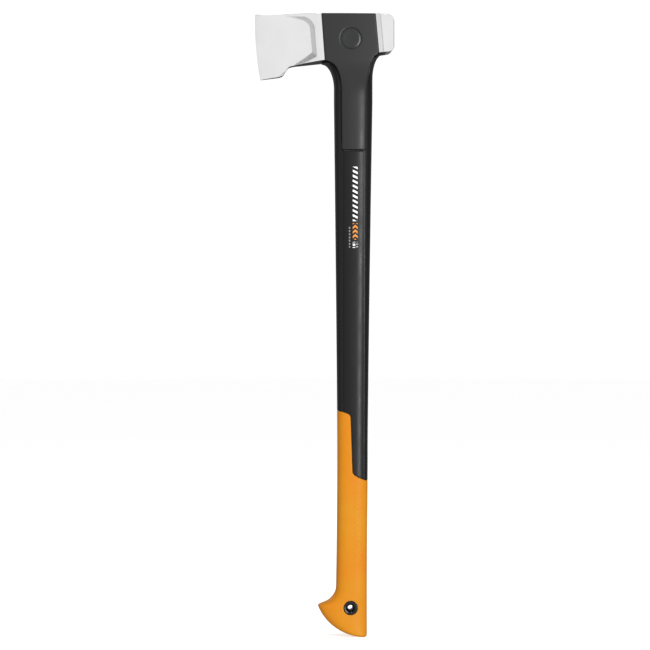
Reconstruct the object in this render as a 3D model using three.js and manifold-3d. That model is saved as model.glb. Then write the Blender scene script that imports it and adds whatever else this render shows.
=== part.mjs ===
// A splitting maul: a forged steel head strapped and locked to a moulded, hollow composite handle.
// Millimetres, +Z up the handle towards the head. The blade points to -X, the poll to +X, and Y is the thickness.
// All sizes are taken from the handle's centre line (x = 0) and from the butt (z = 0); the finished group is
// then moved so that its origin is the middle of its bounding box's underside.
import * as THREE from "three";
import { mergeVertices } from "three/addons/utils/BufferGeometryUtils.js";
import Module from "manifold-3d";

const wasm = await Module();
wasm.setup();

// Overall
const HEIGHT = 820; // butt to the flat top of the head
const FIT_GAP = 0.3; // clearance between pieces that meet

// Head: one forging with blade, waist and poll
const BLADE_REACH = 129.1; // centre line to the toe of the cutting edge
const POLL_REACH = 53.4; // centre line to the hammer face
const EDGE_LENGTH = 86.3; // height of the cutting edge
const EDGE_SWEEP = 7; // the heel of the edge lies this far behind its toe
const EDGE_BELLY = 2.2; // how far the edge bulges past its chord
const EDGE_LAND = 0.5; // width left along the cutting edge
const BEVEL_DEPTH = 16; // from the edge to where the hollow of the cheek starts
const BEVEL_HALF = 5; // half thickness there
const FLARE_HALF = 27; // half thickness of the flare where it meets the strap
const FLARE_BACK = 46; // centre line to the full width of the flare
const CHEEK_HALF = 13.4; // half thickness at the back of the hollowed cheek
const CHEEK_BACK = 57; // centre line to the back of the cheek's floor
const UNDERSIDE_RISE = 0.1424; // slope of the head's underside, rising towards the poll
const UNDERSIDE_DROP = 56.2; // the underside lies this far below the top at the centre line
const BEARD_FOOT = 98; // centre line to where the beard starts to climb
const BEARD_FOOT_RISE = 4.8; // the beard's foot lies this far above the heel
const BEARD_TOP = 86; // centre line to where the beard meets the underside
const POLL_HALF = 22.8; // half thickness of the poll
const POLL_STEP = 37.6; // centre line to the foot of the shoulder behind the strap
const POLL_EDGE = 1.6; // rounding round the hammer face
const POLL_TOP_RADIUS = 10;
const POLL_LOW_RADIUS = 6.5;
const WAIST_HALF = 13.7; // half thickness of the waist between the strap's cheeks
const BRIDGE = 13; // thickness of the strap over the waist

// Strap: an inverted U over the head's waist, whose two legs run down the neck as tongues
const STRAP_HALF = 28.4; // half thickness across the cheeks
const STRAP_FRONT_TOP = 42.4; // its front edge at the top, from the centre line
const STRAP_FRONT_LOW = 37.8;
const STRAP_BACK_TOP = 28.3;
const STRAP_BACK_LOW = 33;
const TONGUE_FRONT = 15.2; // tongue edges from the centre line, halfway down
const TONGUE_BACK = 16.4;
const TONGUE_TAPER = 0.008; // each edge draws in this much for each millimetre down
const TONGUE_END = 178.2; // from the top of the head to the tip of the tongues
const TONGUE_START = 104; // from the top of the head to where the tongue edges run straight
const TONGUE_CORNER = 2.6;
const GROOVE = 0.9; // open joint left round each tongue

// Lock plugs through the cheeks and the waist
const PLUG_BELOW_TOP = 33;
const PLUG_OFF_CENTRE = -4.2;
const PLUG_HEAD_R = 13.3;
const PLUG_HEAD_DEPTH = 5;
const PLUG_SHANK_R = 8.5;
const PLUG_CHAMFER = 1.0;

// Handle shaft: sizes on either side of the centre line
const WAIST_HEIGHT = 250; // height of the slimmest part of the grip
const NECK_BELOW_TOP = 115; // top of the head to where the neck starts to thicken
const GRIP_FRONT = 20.4;
const GRIP_BACK = 19.7;
const GRIP_HALF = 15.4; // half thickness in the grip
const NECK_FRONT = 24.9;
const NECK_BACK = 26;
const NECK_HALF = 17.6;
const YOKE_HALF = 25.6; // half thickness of the flared yoke under the head
const YOKE_FLARE_FRONT = 16.5; // reach of the flare under the blade
const YOKE_FLARE_BACK = 14.5; // and under the poll
const YOKE_FLARE_HEIGHT = 33;
const SHOULDER_HEIGHT = 62; // length over which the neck thickens to the head
const SQUARENESS = 2.6; // exponent of the handle's oval section
const SHAFT_WALL = 5;
const CORE_WALL = 4.2; // wall of the shaft under the grip
const BORE_BELOW_TOP = 130; // top of the head to the closed end of the bore
const SHAFT_END = 72; // height of the shaft's lower end inside the grip

// Grip: a soft skin moulded over the shaft, with a hooked butt
const GRIP_SKIN = 2.6;
const GRIP_FRONT_TOP = 297.6; // the skin climbs higher on the blade side
const GRIP_BACK_TOP = 206.4;
const GRIP_STEP_X = -2.6; // where the skin's upper line drops from front to back
const HOOK_REACH = 46; // centre line to the tip of the hook
const HOOK_ROOT = 22.1; // centre line to the foot of the hollow over the hook
const HOOK_HEIGHT = 44; // height of the hook's tip
const HOOK_HOLLOW = 22; // height of the hollow over the hook
const BUTT_BACK = 18.6;
const BUTT_CENTRE = 14.5; // centre line to the lowest point of the butt's underside
const BUTT_RADIUS = 65.2; // sweep of the underside from the hook to the back
const BUTT_EDGE = 5; // rounding where the butt's underside meets its sides

// Hanging eyelet and the plug that closes the shaft's bore
const EYELET_HEIGHT = 39;
const EYELET_X = -3.6;
const EYELET_THROAT_R = 3.5;
const EYELET_RIM_R = 9.3;
const EYELET_TUBE_R = 6.2;
const EYELET_FLARE = 6; // depth of each flared mouth
const EYELET_PROUD = 0.3;
const EYELET_LIP = 0.9; // rounding of the rim
const PLUG_TENON = 30; // how far the end plug reaches up the bore
const CORE_HALF = 10; // half thickness of the plug's block inside the butt
const CORE_LOW = 14; // height of the block's underside

// Facets
const AROUND = 32;

const SLOT_HALF = WAIST_HALF + FIT_GAP; // inner faces of the strap's legs
const PLUG_Z = HEIGHT - PLUG_BELOW_TOP;
const NECK_HEIGHT = HEIGHT - NECK_BELOW_TOP;
const FAR = 400; // beyond every piece

const clamp01 = (t) => Math.min(1, Math.max(0, t));
const lerp = (a, b, t) => a + (b - a) * t;
const ease = (t) => clamp01(t) ** 2 * (3 - 2 * clamp01(t));

// ---- Solids: a three.js geometry to a manifold and back ----
function solid(geometry) {
  const bare = geometry.index ? geometry.toNonIndexed() : geometry.clone();
  bare.deleteAttribute("normal");
  bare.deleteAttribute("uv");
  const merged = mergeVertices(bare, 1e-4);
  return new wasm.Manifold(
    new wasm.Mesh({
      numProp: 3,
      vertProperties: merged.attributes.position.array,
      triVerts: new Uint32Array(merged.index.array),
    }),
  );
}

function geometryOf(manifold) {
  const mesh = manifold.getMesh();
  const geometry = new THREE.BufferGeometry();
  geometry.setAttribute("position", new THREE.BufferAttribute(new Float32Array(mesh.vertProperties), 3));
  geometry.setIndex(new THREE.BufferAttribute(new Uint32Array(mesh.triVerts), 1));
  geometry.computeVertexNormals();
  return geometry;
}

// Moves every vertex of a geometry to where place(x, y, z) puts it.
function warp(geometry, place) {
  const position = geometry.attributes.position;
  for (let i = 0; i < position.count; i++) {
    position.setXYZ(i, ...place(position.getX(i), position.getY(i), position.getZ(i)));
  }
  return geometry;
}

// A side outline, drawn with x along X and y up Z, made a slab from y = low to y = high.
function slab(shape, low, high, curveSegments = 10) {
  const depth = high - low;
  const geometry = new THREE.ExtrudeGeometry(shape, { depth, bevelEnabled: false, curveSegments });
  return solid(geometry.rotateX(Math.PI / 2).translate(0, high, 0));
}

function box(x0, x1, y0, y1, z0, z1) {
  const geometry = new THREE.BoxGeometry(x1 - x0, y1 - y0, z1 - z0);
  return solid(geometry.translate((x0 + x1) / 2, (y0 + y1) / 2, (z0 + z1) / 2));
}

// The same profile on the other side of the mid-plane.
const mirrored = (profile) => profile.map(([y, radius]) => [-y, radius]).reverse();

// A round piece on the Y axis through (x, z), from [y, radius] pairs that start and end on the axis.
function turned(profile, x, z, facets = AROUND) {
  const points = profile.map(([y, radius]) => new THREE.Vector2(radius, y));
  return solid(new THREE.LatheGeometry(points, facets).translate(x, 0, z));
}

// A sine or cosine bent from round towards square, with the seam's rounding errors dropped.
const squared = (t, square) => (Math.abs(t) < 1e-6 ? 0 : Math.sign(t) * Math.abs(t) ** (2 / square));

// Equal steps from one value up to, and without, the other.
const steps = (from, to, count) => Array.from({ length: count }, (_, i) => lerp(from, to, i / count));

// A stretch of handle through the given heights whose oval section follows section(z), grown by grow on every side.
function barrel(heights, section, grow = 0, around = AROUND) {
  const rows = heights.length - 1;
  const tube = new THREE.CylinderGeometry(1, 1, 1, around, rows);
  return solid(
    warp(tube, (x, y, z) => {
      const height = heights[Math.round((y + 0.5) * rows)];
      const { front, back, half, square } = section(height);
      const radius = Math.hypot(x, z) < 0.5 ? 0 : 1;
      const angle = Math.atan2(-z, x);
      const wide = radius * ((front + back) / 2 + grow) * squared(Math.cos(angle), square);
      const deep = radius * (half + grow) * squared(Math.sin(angle), square);
      return [(back - front) / 2 + wide, deep, height];
    }),
  );
}

// ---- Shared outlines ----
const undersideAt = (x) => HEIGHT - UNDERSIDE_DROP + UNDERSIDE_RISE * x;

// How far the yoke's flare stands out at height z when it ends at height top: a quarter of an ellipse.
function flareAt(z, top, reach) {
  const t = clamp01(1 - (top - z) / YOKE_FLARE_HEIGHT);
  return reach * (1 - Math.sqrt(1 - t * t));
}

// Reach of the butt's front at height z: its underside up to the hook's tip, then the hollow over the hook.
function buttFrontAt(z) {
  if (z < HOOK_HEIGHT) {
    const sweep = Math.sqrt(BUTT_RADIUS ** 2 - (BUTT_RADIUS - z) ** 2) - BUTT_CENTRE;
    return Math.min(sweep, HOOK_REACH);
  }
  const bend = 1.8; // 2 would make the hollow a quarter of an ellipse
  const rise = clamp01((HOOK_HEIGHT + HOOK_HOLLOW - z) / HOOK_HOLLOW);
  return HOOK_ROOT + (HOOK_REACH - HOOK_ROOT) * (1 - (1 - rise ** bend) ** (1 / bend));
}

// The handle's outer section at height z: reach to the front and back of the centre line, half thickness, squareness.
function handleSection(z) {
  const hollowTop = HOOK_HEIGHT + HOOK_HOLLOW;
  const up = clamp01((z - WAIST_HEIGHT) / (NECK_HEIGHT - WAIST_HEIGHT)) ** 1.2;
  const down = clamp01((WAIST_HEIGHT - z) / (WAIST_HEIGHT - hollowTop));
  let front = lerp(GRIP_FRONT, NECK_FRONT, up) + (HOOK_ROOT - GRIP_FRONT) * down ** 2;
  let back = lerp(GRIP_BACK, NECK_BACK, up) + (BUTT_BACK - GRIP_BACK) * ease(down);
  let half = lerp(GRIP_HALF, NECK_HALF, up);
  if (z < hollowTop) front = buttFrontAt(z);
  if (z < BUTT_EDGE) {
    const inset = BUTT_EDGE * (1 - Math.sqrt(1 - (1 - z / BUTT_EDGE) ** 2));
    half -= inset;
    back -= inset / 2;
  }
  front += flareAt(z, undersideAt(-STRAP_FRONT_LOW) - 3, YOKE_FLARE_FRONT);
  back += flareAt(z, undersideAt(STRAP_BACK_LOW), YOKE_FLARE_BACK);
  half += (YOKE_HALF - NECK_HALF) * ease((z - NECK_HEIGHT) / SHOULDER_HEIGHT);
  return { front, back, half, square: SQUARENESS };
}

// Heights at which the handle is drawn: close together round the hook and the yoke's flare, wide apart between.
const neckStart = NECK_HEIGHT + 0.2 * SHOULDER_HEIGHT;
const handleHeights = [
  ...steps(0, BUTT_EDGE, 4),
  ...steps(BUTT_EDGE, HOOK_HEIGHT, 9),
  ...steps(HOOK_HEIGHT, HOOK_HEIGHT + HOOK_HOLLOW, 9),
  ...steps(HOOK_HEIGHT + HOOK_HOLLOW, WAIST_HEIGHT, 6),
  ...steps(WAIST_HEIGHT, neckStart, 10),
  ...steps(neckStart, undersideAt(POLL_REACH) + 1, 14),
  undersideAt(POLL_REACH) + 1,
];

// The handle's drawing heights from low to high, with those two added.
const between = (low, high) => [low, ...handleHeights.filter((z) => z > low + 1 && z < high - 1), high];

// The strap's outer faces: flush with the handle along the tongues, and flat across the block round the head.
function strapSection(z) {
  const blend = ease((z - NECK_HEIGHT) / SHOULDER_HEIGHT);
  const { front, back, half } = handleSection(Math.min(z, NECK_HEIGHT));
  return {
    front: lerp(front, 2 * STRAP_FRONT_TOP, blend),
    back: lerp(back, 2 * STRAP_FRONT_TOP, blend),
    half: lerp(half, STRAP_HALF + 0.4, blend),
    square: lerp(SQUARENESS, 7, blend),
  };
}

// Side outline of the strap, block and tongue together, grown by grow all round.
function strapOutline(grow = 0) {
  const top = HEIGHT + grow;
  const bottom = HEIGHT - TONGUE_END - grow;
  const start = HEIGHT - TONGUE_START;
  const middle = (start + bottom) / 2;
  const edge = (reach, z) => reach + grow + TONGUE_TAPER * (z - middle);
  const frontLow = undersideAt(-STRAP_FRONT_LOW) - grow;
  const backLow = undersideAt(STRAP_BACK_LOW) - grow;
  const shape = new THREE.Shape();
  shape.moveTo(-STRAP_FRONT_TOP - grow, top);
  shape.lineTo(-STRAP_FRONT_LOW - grow, frontLow);
  shape.bezierCurveTo(
    -STRAP_FRONT_LOW - grow + 12.5, frontLow - 2,
    -edge(TONGUE_FRONT, start) - 0.5, frontLow - 11,
    -edge(TONGUE_FRONT, start), start,
  );
  shape.lineTo(-edge(TONGUE_FRONT, bottom), bottom + TONGUE_CORNER);
  shape.quadraticCurveTo(-edge(TONGUE_FRONT, bottom), bottom, -edge(TONGUE_FRONT, bottom) + TONGUE_CORNER, bottom);
  shape.lineTo(edge(TONGUE_BACK, bottom) - TONGUE_CORNER, bottom);
  shape.quadraticCurveTo(edge(TONGUE_BACK, bottom), bottom, edge(TONGUE_BACK, bottom), bottom + TONGUE_CORNER);
  shape.lineTo(edge(TONGUE_BACK, start), start);
  shape.bezierCurveTo(
    edge(TONGUE_BACK, start) + 0.6, backLow - 19,
    STRAP_BACK_LOW + grow - 10.4, backLow - 5,
    STRAP_BACK_LOW + grow, backLow,
  );
  shape.lineTo(STRAP_BACK_TOP + grow, top);
  return shape;
}

// Everything below the skin's upper line, which steps down from the front of the grip to its back.
function skinRegion(shift = 0) {
  const x = (value) => value - shift;
  const z = (value) => value - shift;
  const shape = new THREE.Shape();
  shape.moveTo(-FAR, -FAR);
  shape.lineTo(-FAR, z(GRIP_FRONT_TOP + 1));
  shape.lineTo(x(GRIP_STEP_X - 19), z(GRIP_FRONT_TOP + 1));
  shape.quadraticCurveTo(x(GRIP_STEP_X - 8), z(GRIP_FRONT_TOP - 1), x(GRIP_STEP_X - 3), z(GRIP_FRONT_TOP - 4));
  shape.quadraticCurveTo(x(GRIP_STEP_X - 1), z(GRIP_FRONT_TOP - 5.5), x(GRIP_STEP_X - 0.8), z(GRIP_FRONT_TOP - 9));
  shape.lineTo(x(GRIP_STEP_X + 1.6), z(GRIP_BACK_TOP + 12));
  shape.quadraticCurveTo(x(GRIP_STEP_X + 2), z(GRIP_BACK_TOP + 8.5), x(GRIP_STEP_X + 5), z(GRIP_BACK_TOP + 6.8));
  shape.quadraticCurveTo(x(GRIP_STEP_X + 15), z(GRIP_BACK_TOP + 0.8), x(GRIP_STEP_X + 23), z(GRIP_BACK_TOP));
  shape.lineTo(FAR, z(GRIP_BACK_TOP));
  shape.lineTo(FAR, -FAR);
  return slab(shape, -FAR, FAR, 6);
}

// Two mirrored slabs that leave the middle of an outline free, from y = clear outwards.
function bothSides(shape, clear) {
  return slab(shape, clear, FAR).add(slab(shape, -FAR, -clear));
}

// ---- Pieces ----
// Linear interpolation in a list of [x, value] pairs.
function along(pairs, x) {
  const next = pairs.findIndex(([knot]) => knot > x);
  if (next === 0) return pairs[0][1];
  if (next < 0) return pairs[pairs.length - 1][1];
  const [x0, value0] = pairs[next - 1];
  const [x1, value1] = pairs[next];
  return lerp(value0, value1, (x - x0) / (x1 - x0));
}

const softMax = (a, b, blend) => {
  const h = Math.max(0, blend - Math.abs(a - b)) / blend;
  return Math.max(a, b) + (h * h * blend) / 4;
};
const softMin = (a, b, blend) => -softMax(-a, -b, blend);

// How far the cutting edge has moved back at height z, from its toe.
function edgeSetBack(z) {
  const t = clamp01((HEIGHT - z) / EDGE_LENGTH);
  return EDGE_SWEEP * t - 4 * EDGE_BELLY * t * (1 - t);
}

// Half thickness of the head without its hollows.
const bevelX = -BLADE_REACH + BEVEL_DEPTH;
const headHalf = [
  [-BLADE_REACH, EDGE_LAND / 2],
  [bevelX, BEVEL_HALF],
  [lerp(bevelX, -FLARE_BACK, 0.27), lerp(BEVEL_HALF, FLARE_HALF, 0.165)],
  [lerp(bevelX, -FLARE_BACK, 0.54), lerp(BEVEL_HALF, FLARE_HALF, 0.43)],
  [-FLARE_BACK, FLARE_HALF],
  [STRAP_BACK_TOP, FLARE_HALF],
  [POLL_STEP, POLL_HALF + 0.8],
  [POLL_REACH - POLL_EDGE, POLL_HALF],
  [POLL_REACH, POLL_HALF - POLL_EDGE],
];

// Half thickness of the head at (x, z), with x counted as if the edge were upright.
function headHalfAt(x, z) {
  const outer = along(headHalf, x);
  if (x < bevelX || x > 0) return outer;
  const floor = lerp(BEVEL_HALF, CHEEK_HALF, (x - bevelX) / (-CHEEK_BACK - bevelX));
  const floorLow = lerp(undersideAt(-BEARD_TOP), undersideAt(-CHEEK_BACK) + 14.5, (x + BEARD_TOP) / (BEARD_TOP - CHEEK_BACK));
  const floorHigh = HEIGHT - 0.173 * (x + BLADE_REACH - 20);
  const rear = floor + (x + CHEEK_BACK) * 1.4;
  const upper = floor + (z - floorHigh) * 1.4;
  const lower = floor + (floorLow - z);
  const tray = softMax(softMax(softMax(floor, rear, 3), upper, 3), lower, 3);
  return softMin(outer, tray, 1.2);
}

// Lowest and highest points of the head's side outline at x.
const beardTopZ = undersideAt(-BEARD_TOP);
const headLow = [
  [-BLADE_REACH, HEIGHT - EDGE_LENGTH],
  [-BLADE_REACH + 3, HEIGHT - EDGE_LENGTH + 0.4],
  [-BEARD_FOOT - 4, HEIGHT - EDGE_LENGTH + BEARD_FOOT_RISE - 1.2],
  [-BEARD_FOOT + 2, HEIGHT - EDGE_LENGTH + BEARD_FOOT_RISE + 0.8],
  [-BEARD_TOP - 1, beardTopZ - 1],
  [-BEARD_TOP + 8, undersideAt(-BEARD_TOP + 8)],
  [POLL_REACH, undersideAt(POLL_REACH)],
];

function headLowAt(x) {
  const corner = Math.max(0, x - POLL_REACH + POLL_LOW_RADIUS);
  return along(headLow, x) + POLL_LOW_RADIUS - Math.sqrt(POLL_LOW_RADIUS ** 2 - corner ** 2);
}

function headHighAt(x) {
  const corner = Math.max(0, x - POLL_REACH + POLL_TOP_RADIUS);
  return HEIGHT - POLL_TOP_RADIUS + Math.sqrt(POLL_TOP_RADIUS ** 2 - corner ** 2);
}

// Points round a corner of the given radius that ends at end, closer together towards the end.
const cornerSteps = (end, radius, count) =>
  Array.from({ length: count + 1 }, (_, i) => end - radius * (1 - Math.sin((i / count) * (Math.PI / 2))));

// The whole forging before it is cut for the strap: a block of columns from edge to poll, each with its own
// lowest and highest point, whose two faces follow headHalfAt.
function headBlank() {
  const columns = [
    -BLADE_REACH,
    -BLADE_REACH + 3,
    ...steps(bevelX, -CHEEK_BACK - 1, 14),
    ...steps(-CHEEK_BACK - 1, -FLARE_BACK, 5),
    -FLARE_BACK,
    STRAP_BACK_TOP,
    POLL_STEP,
    ...cornerSteps(POLL_REACH, POLL_TOP_RADIUS, 6),
  ].sort((a, b) => a - b);
  const rows = 20;
  const block = new THREE.BoxGeometry(1, 1, 1, columns.length - 1, 1, rows);
  return solid(
    warp(block, (u, v, w) => {
      const x = columns[Math.round((u + 0.5) * (columns.length - 1))];
      const z = lerp(headLowAt(x), headHighAt(x), w + 0.5);
      const behind = clamp01((-FLARE_BACK - x) / (BLADE_REACH - FLARE_BACK));
      return [x + edgeSetBack(z) * behind, 2 * v * headHalfAt(x, z), z];
    }),
  );
}

// Shank holes of the lock plugs, through the waist of the head.
const plugBore = (radius) => turned([[-FAR, 0], [-FAR, radius], [FAR, radius], [FAR, 0]], PLUG_OFF_CENTRE, PLUG_Z);

function buildHead() {
  const seats = bothSides(strapOutline(FIT_GAP), WAIST_HALF);
  const bridgeSeat = slab(strapOutline(FIT_GAP), -FAR, FAR).intersect(
    box(-FAR, FAR, -FAR, FAR, HEIGHT - BRIDGE - FIT_GAP, HEIGHT + 2),
  );
  return headBlank().subtract(seats).subtract(bridgeSeat).subtract(plugBore(PLUG_SHANK_R + FIT_GAP));
}

function buildStrap() {
  const outline = slab(strapOutline(), -STRAP_HALF, STRAP_HALF, 12);
  const low = HEIGHT - TONGUE_END - 5;
  const faces = barrel([...steps(low, NECK_HEIGHT, 3), ...steps(NECK_HEIGHT, NECK_HEIGHT + SHOULDER_HEIGHT, 12),
    NECK_HEIGHT + SHOULDER_HEIGHT, HEIGHT], strapSection);
  const slot = box(-FAR, FAR, -SLOT_HALF, SLOT_HALF, 0, HEIGHT - BRIDGE);
  const rim = STRAP_HALF - PLUG_CHAMFER - 0.4;
  const mouth = PLUG_HEAD_R + FIT_GAP;
  const seat = [
    [SLOT_HALF - 2, 0],
    [SLOT_HALF - 2, PLUG_SHANK_R + FIT_GAP],
    [STRAP_HALF - PLUG_HEAD_DEPTH - FIT_GAP, PLUG_SHANK_R + FIT_GAP],
    [STRAP_HALF - PLUG_HEAD_DEPTH - FIT_GAP, mouth],
    [rim, mouth],
    [STRAP_HALF + 1, mouth + PLUG_CHAMFER + 1.4],
    [STRAP_HALF + 1, 0],
  ];
  return outline
    .intersect(faces)
    .subtract(slot)
    .subtract(turned(seat, PLUG_OFF_CENTRE, PLUG_Z))
    .subtract(turned(mirrored(seat), PLUG_OFF_CENTRE, PLUG_Z));
}

// A lock plug for the +Y cheek: a chamfered disc on a shank that reaches to the middle of the waist.
function buildLockPlug(side) {
  const face = STRAP_HALF - 0.2;
  const profile = [
    [FIT_GAP / 2, 0],
    [FIT_GAP / 2, PLUG_SHANK_R],
    [STRAP_HALF - PLUG_HEAD_DEPTH, PLUG_SHANK_R],
    [STRAP_HALF - PLUG_HEAD_DEPTH, PLUG_HEAD_R],
    [face - PLUG_CHAMFER, PLUG_HEAD_R],
    [face, PLUG_HEAD_R - PLUG_CHAMFER],
    [face, 0],
  ];
  return turned(side > 0 ? profile : mirrored(profile), PLUG_OFF_CENTRE, PLUG_Z);
}

// The hollow inside the shaft: thinner walls above the grip than under it.
function boreInset(z) {
  const underGrip = GRIP_SKIN + FIT_GAP + CORE_WALL;
  return lerp(underGrip, SHAFT_WALL, ease((z - GRIP_BACK_TOP) / (GRIP_FRONT_TOP - GRIP_BACK_TOP)));
}

function boreSection(z) {
  const { front, back, half, square } = handleSection(z);
  const inset = boreInset(z);
  const tongueTip = HEIGHT - TONGUE_END;
  const behindTongues = ease((z - tongueTip + 50) / 40);
  const thin = lerp(half - inset, WAIST_HALF - 0.8 * SHAFT_WALL, behindTongues);
  return { front: front - inset, back: back - inset, half: thin, square };
}

function buildShaft() {
  const outside = barrel(between(SHAFT_END, undersideAt(POLL_REACH) + 1), handleSection);
  const core = barrel(between(SHAFT_END, GRIP_FRONT_TOP + 10), handleSection, -GRIP_SKIN - FIT_GAP);
  const underHead = new THREE.Shape();
  underHead.moveTo(-FAR, 0);
  underHead.lineTo(FAR, 0);
  underHead.lineTo(FAR, undersideAt(FAR) - FIT_GAP);
  underHead.lineTo(-FAR, undersideAt(-FAR) - FIT_GAP);
  const bore = barrel(between(SHAFT_END - 1, HEIGHT - BORE_BELOW_TOP), boreSection, 0, 24);
  return outside
    .subtract(skinRegion())
    .add(core)
    .intersect(slab(underHead, -FAR, FAR))
    .subtract(bothSides(strapOutline(GROOVE), WAIST_HALF))
    .subtract(bore);
}

// Outer face of the butt at the eyelet, which the eyelet's rims lie on.
function eyeletFace() {
  const { front, back, half, square } = handleSection(EYELET_HEIGHT);
  const off = Math.abs((EYELET_X - (back - front) / 2) / ((front + back) / 2));
  return half * (1 - off ** square) ** (1 / square);
}

// A flared tube: the closed profile round its wall, from one rim through the throat to the other and back outside.
function buildEyelet() {
  const face = eyeletFace() + EYELET_PROUD;
  const neck = EYELET_RIM_R - EYELET_LIP / 2;
  const flare = Array.from({ length: 7 }, (_, i) => {
    const angle = (i / 6) * (Math.PI / 2);
    const widening = (EYELET_RIM_R - EYELET_LIP - EYELET_THROAT_R) * (1 - Math.cos(angle));
    return [face - EYELET_FLARE * (1 - Math.sin(angle)), EYELET_THROAT_R + widening];
  });
  const outside = [
    [face - EYELET_LIP, EYELET_RIM_R],
    [face - 3 * EYELET_LIP, neck],
    [face - 3 * EYELET_LIP - (neck - EYELET_TUBE_R), EYELET_TUBE_R],
  ];
  const ring = [...mirrored(flare), ...flare, ...outside, ...mirrored(outside)];
  const points = [...ring, ring[0]].map(([y, radius]) => new THREE.Vector2(radius, y));
  return solid(new THREE.LatheGeometry(points.reverse(), AROUND).translate(EYELET_X, 0, EYELET_HEIGHT));
}

// The room that the eyelet takes in the pieces round it: its tube and both flared mouths, with a clearance.
function eyeletRoom() {
  const rim = EYELET_RIM_R + FIT_GAP;
  const tube = EYELET_TUBE_R + FIT_GAP;
  const shelf = eyeletFace() - 3 * EYELET_LIP - 2 * FIT_GAP;
  const half = [
    [shelf - (rim - tube), tube],
    [shelf, rim],
    [FAR, rim],
    [FAR, 0],
  ];
  return turned([...mirrored(half), ...half], EYELET_X, EYELET_HEIGHT);
}

// Front and back of the end plug's block, which leave a wall round the eyelet and a thick skin behind.
const blockFront = EYELET_X - EYELET_RIM_R - 5;
const blockBack = BUTT_BACK - GRIP_SKIN - 3;

// The block inside the butt, with a tenon that closes the shaft's bore.
function buildEndPlug() {
  const corner = 6;
  const shape = new THREE.Shape();
  shape.moveTo(blockFront + corner, CORE_LOW);
  shape.lineTo(blockBack - corner, CORE_LOW);
  shape.quadraticCurveTo(blockBack, CORE_LOW, blockBack, CORE_LOW + corner);
  shape.lineTo(blockBack, SHAFT_END - FIT_GAP);
  shape.lineTo(blockFront, SHAFT_END - FIT_GAP);
  shape.lineTo(blockFront, CORE_LOW + corner);
  shape.quadraticCurveTo(blockFront, CORE_LOW, blockFront + corner, CORE_LOW);
  const block = slab(shape, -CORE_HALF, CORE_HALF, 5);
  const tenon = barrel(between(SHAFT_END - 5, SHAFT_END + PLUG_TENON), boreSection, -FIT_GAP, 24);
  return block.add(tenon).subtract(eyeletRoom());
}

// The room for that block inside the skin.
function blockPocket() {
  const half = CORE_HALF + FIT_GAP;
  return box(blockFront - FIT_GAP, blockBack + FIT_GAP, -half, half, CORE_LOW - FIT_GAP, SHAFT_END + FIT_GAP);
}

function buildGrip() {
  const skin = barrel(between(0, GRIP_FRONT_TOP + 5), handleSection).intersect(skinRegion(FIT_GAP));
  const core = barrel(between(SHAFT_END - FIT_GAP, GRIP_FRONT_TOP + 8), handleSection, -GRIP_SKIN);
  return skin.subtract(core).subtract(blockPocket()).subtract(eyeletRoom());
}

// ---- Assembly ----
const finishes = {
  steel: { color: 0xd9dadb, roughness: 0.42, metalness: 0.9 },
  composite: { color: 0x2b2b2c, roughness: 0.55, metalness: 0 },
  strap: { color: 0x343435, roughness: 0.5, metalness: 0 },
  skin: { color: 0xf09a1e, roughness: 0.7, metalness: 0 },
  eyelet: { color: 0x0c0c0e, roughness: 0.12, metalness: 0.6 },
};

const maul = new THREE.Group();
function addPiece(name, manifold, finish) {
  const mesh = new THREE.Mesh(geometryOf(manifold), new THREE.MeshStandardMaterial(finishes[finish]));
  mesh.name = name;
  maul.add(mesh);
}

addPiece("axe_head", buildHead(), "steel");
addPiece("head_strap", buildStrap(), "strap");
addPiece("handle_shaft", buildShaft(), "composite");
addPiece("lock_plug_left", buildLockPlug(1), "strap");
addPiece("lock_plug_right", buildLockPlug(-1), "strap");
addPiece("shaft_end_plug", buildEndPlug(), "composite");
addPiece("grip_skin", buildGrip(), "skin");
addPiece("hang_eyelet", buildEyelet(), "eyelet");

// The origin goes to the middle of the bounding box's underside.
const extent = new THREE.Box3().setFromObject(maul);
maul.position.x = -(extent.min.x + extent.max.x) / 2;

export default maul;
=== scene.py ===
# A splitting maul: a steel head locked into a moulded strap on a hollow composite handle with a soft grip.
# Pieces are drawn in millimetres from the handle's centre line (x = 0) and the butt (z = 0).
import math
import bpy
import bmesh
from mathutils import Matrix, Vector


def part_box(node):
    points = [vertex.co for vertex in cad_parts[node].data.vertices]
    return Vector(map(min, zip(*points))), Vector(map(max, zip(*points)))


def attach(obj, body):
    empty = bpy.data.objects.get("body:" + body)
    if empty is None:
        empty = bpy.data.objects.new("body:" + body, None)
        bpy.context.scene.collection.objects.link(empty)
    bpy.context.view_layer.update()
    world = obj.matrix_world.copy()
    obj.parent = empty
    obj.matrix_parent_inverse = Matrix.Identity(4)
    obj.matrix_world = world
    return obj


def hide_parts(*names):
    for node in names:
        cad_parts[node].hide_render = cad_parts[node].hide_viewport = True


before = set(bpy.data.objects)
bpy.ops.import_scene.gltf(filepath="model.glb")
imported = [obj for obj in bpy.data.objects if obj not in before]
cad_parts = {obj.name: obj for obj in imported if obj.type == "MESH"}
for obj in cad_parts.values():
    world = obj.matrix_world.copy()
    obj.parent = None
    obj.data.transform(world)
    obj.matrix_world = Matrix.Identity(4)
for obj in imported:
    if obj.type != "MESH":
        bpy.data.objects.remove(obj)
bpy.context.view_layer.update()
mm = 0.001
pollReach = 53.4  # centre line to the hammer face
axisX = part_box("axe_head")[1].x / mm - pollReach
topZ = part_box("axe_head")[1].z / mm
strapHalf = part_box("head_strap")[1].y / mm
print("frame loaded")


def clamp(t):
    return min(1, max(0, t))


def lerp(a, b, t):
    return a + (b - a) * t


def ease(t):
    t = clamp(t)
    return t * t * (3 - 2 * t)


def softMax(a, b, blend):
    h = max(0, blend - abs(a - b)) / blend
    return max(a, b) + h * h * blend / 4


def softMin(a, b, blend):
    return -softMax(-a, -b, blend)


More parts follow.
